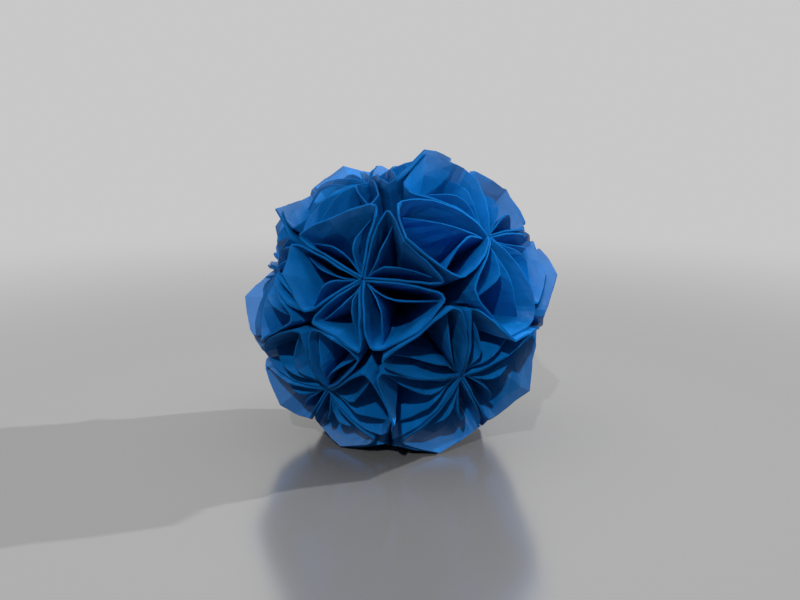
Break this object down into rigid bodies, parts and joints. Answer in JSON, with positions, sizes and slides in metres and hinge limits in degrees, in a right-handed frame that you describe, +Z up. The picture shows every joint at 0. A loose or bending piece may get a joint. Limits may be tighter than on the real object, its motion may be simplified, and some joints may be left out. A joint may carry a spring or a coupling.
{
  "type": "folded paper flower ball",
  "caption": "Table decoration: a ball of folded blue paper petals glued into open flowers, with folded flaps inside each petal, resting on its lowest petal tips.",
  "frame": {"origin": "on the ground under the middle of the ball, level with the petal tips it stands on", "axes": "+Z up through the middle of the ball from its lowest flower to its top flower, -Y towards the side of the ball that the picture shows"},
  "size_m": [0.1442, 0.1416, 0.1334],
  "materials": {
    "blue_paper": "matt"
  },
  "bodies": {
    "root": {"bottom_flower_petal_1": "blue_paper", "bottom_flower_petal_2": "blue_paper", "bottom_flower_petal_3": "blue_paper", "bottom_flower_petal_4": "blue_paper", "bottom_flower_petal_5": "blue_paper", "lower_flower_1_petal_1": "blue_paper", "lower_flower_1_petal_2": "blue_paper", "lower_flower_1_petal_3": "blue_paper", "lower_flower_1_petal_4": "blue_paper", "lower_flower_1_petal_5": "blue_paper", "lower_flower_2_petal_1": "blue_paper", "lower_flower_2_petal_2": "blue_paper", "lower_flower_2_petal_3": "blue_paper", "lower_flower_2_petal_4": "blue_paper", "lower_flower_2_petal_5": "blue_paper", "lower_flower_3_petal_1": "blue_paper", "lower_flower_3_petal_2": "blue_paper", "lower_flower_3_petal_3": "blue_paper", "lower_flower_3_petal_4": "blue_paper", "lower_flower_3_petal_5": "blue_paper", "lower_flower_4_petal_1": "blue_paper", "lower_flower_4_petal_2": "blue_paper", "lower_flower_4_petal_3": "blue_paper", "lower_flower_4_petal_4": "blue_paper", "lower_flower_4_petal_5": "blue_paper", "lower_flower_5_petal_1": "blue_paper", "lower_flower_5_petal_2": "blue_paper", "lower_flower_5_petal_3": "blue_paper", "lower_flower_5_petal_4": "blue_paper", "lower_flower_5_petal_5": "blue_paper", "top_flower_petal_1": "blue_paper", "top_flower_petal_2": "blue_paper", "top_flower_petal_3": "blue_paper", "top_flower_petal_4": "blue_paper", "top_flower_petal_5": "blue_paper", "upper_flower_1_petal_1": "blue_paper", "upper_flower_1_petal_2": "blue_paper", "upper_flower_1_petal_3": "blue_paper", "upper_flower_1_petal_4": "blue_paper", "upper_flower_1_petal_5": "blue_paper", "upper_flower_2_petal_1": "blue_paper", "upper_flower_2_petal_2": "blue_paper", "upper_flower_2_petal_3": "blue_paper", "upper_flower_2_petal_4": "blue_paper", "upper_flower_2_petal_5": "blue_paper", "upper_flower_3_petal_1": "blue_paper", "upper_flower_3_petal_2": "blue_paper", "upper_flower_3_petal_3": "blue_paper", "upper_flower_3_petal_4": "blue_paper", "upper_flower_3_petal_5": "blue_paper", "upper_flower_4_petal_1": "blue_paper", "upper_flower_4_petal_2": "blue_paper", "upper_flower_4_petal_3": "blue_paper", "upper_flower_4_petal_4": "blue_paper", "upper_flower_4_petal_5": "blue_paper", "upper_flower_5_petal_1": "blue_paper", "upper_flower_5_petal_2": "blue_paper", "upper_flower_5_petal_3": "blue_paper", "upper_flower_5_petal_4": "blue_paper", "upper_flower_5_petal_5": "blue_paper"}
  },
  "joints": []
}
